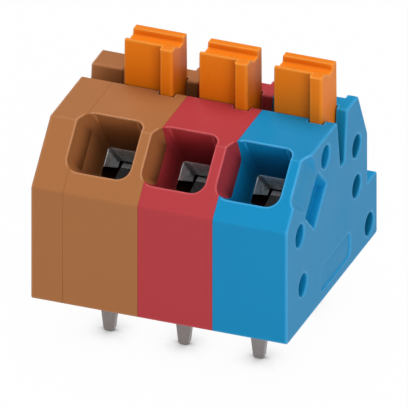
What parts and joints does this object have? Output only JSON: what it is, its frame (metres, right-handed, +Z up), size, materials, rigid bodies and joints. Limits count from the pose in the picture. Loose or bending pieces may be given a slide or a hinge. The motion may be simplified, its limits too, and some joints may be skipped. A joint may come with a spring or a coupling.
{
  "type": "pcb terminal block",
  "caption": "Spring clamp terminal block for a circuit board with slanted wire funnels, push buttons and flat solder pins.",
  "frame": {"origin": "middle of the body's footprint, on the board plane; the solder pins reach below it", "axes": "+X along the poles from the end cover, +Y from the wire side to the rear, +Z up from the board"},
  "size_m": [0.0174, 0.016, 0.018],
  "materials": {
    "brown_plastic": "fine moulded",
    "red_plastic": "fine moulded",
    "blue_plastic": "fine moulded",
    "orange_plastic": "fine moulded",
    "tinned_metal": "tinned sheet",
    "spring_steel": "rolled strip"
  },
  "bodies": {
    "block": {"left_cover": "brown_plastic", "housing_brown": "brown_plastic", "housing_red": "red_plastic", "housing_blue": "blue_plastic", "current_bar_brown": "tinned_metal", "current_bar_red": "tinned_metal", "current_bar_blue": "tinned_metal", "spring_brown": "spring_steel", "spring_red": "spring_steel", "spring_blue": "spring_steel"},
    "push_brown": {"button_brown": "orange_plastic"},
    "push_red": {"button_red": "orange_plastic"},
    "push_blue": {"button_blue": "orange_plastic"}
  },
  "joints": [
    {"name": "press_brown", "type": "slide", "parent": "block", "child": "push_brown", "axis": [0, 0, -1], "range_m": [0, 0.0018], "stiffness_N_per_m": 3000, "springref_m": -0.001, "deforming": ["spring_brown"]},
    {"name": "press_red", "type": "slide", "parent": "block", "child": "push_red", "axis": [0, 0, -1], "range_m": [0, 0.0018], "stiffness_N_per_m": 3000, "springref_m": -0.001, "deforming": ["spring_red"]},
    {"name": "press_blue", "type": "slide", "parent": "block", "child": "push_blue", "axis": [0, 0, -1], "range_m": [0, 0.0018], "stiffness_N_per_m": 3000, "springref_m": -0.001, "deforming": ["spring_blue"]}
  ]
}
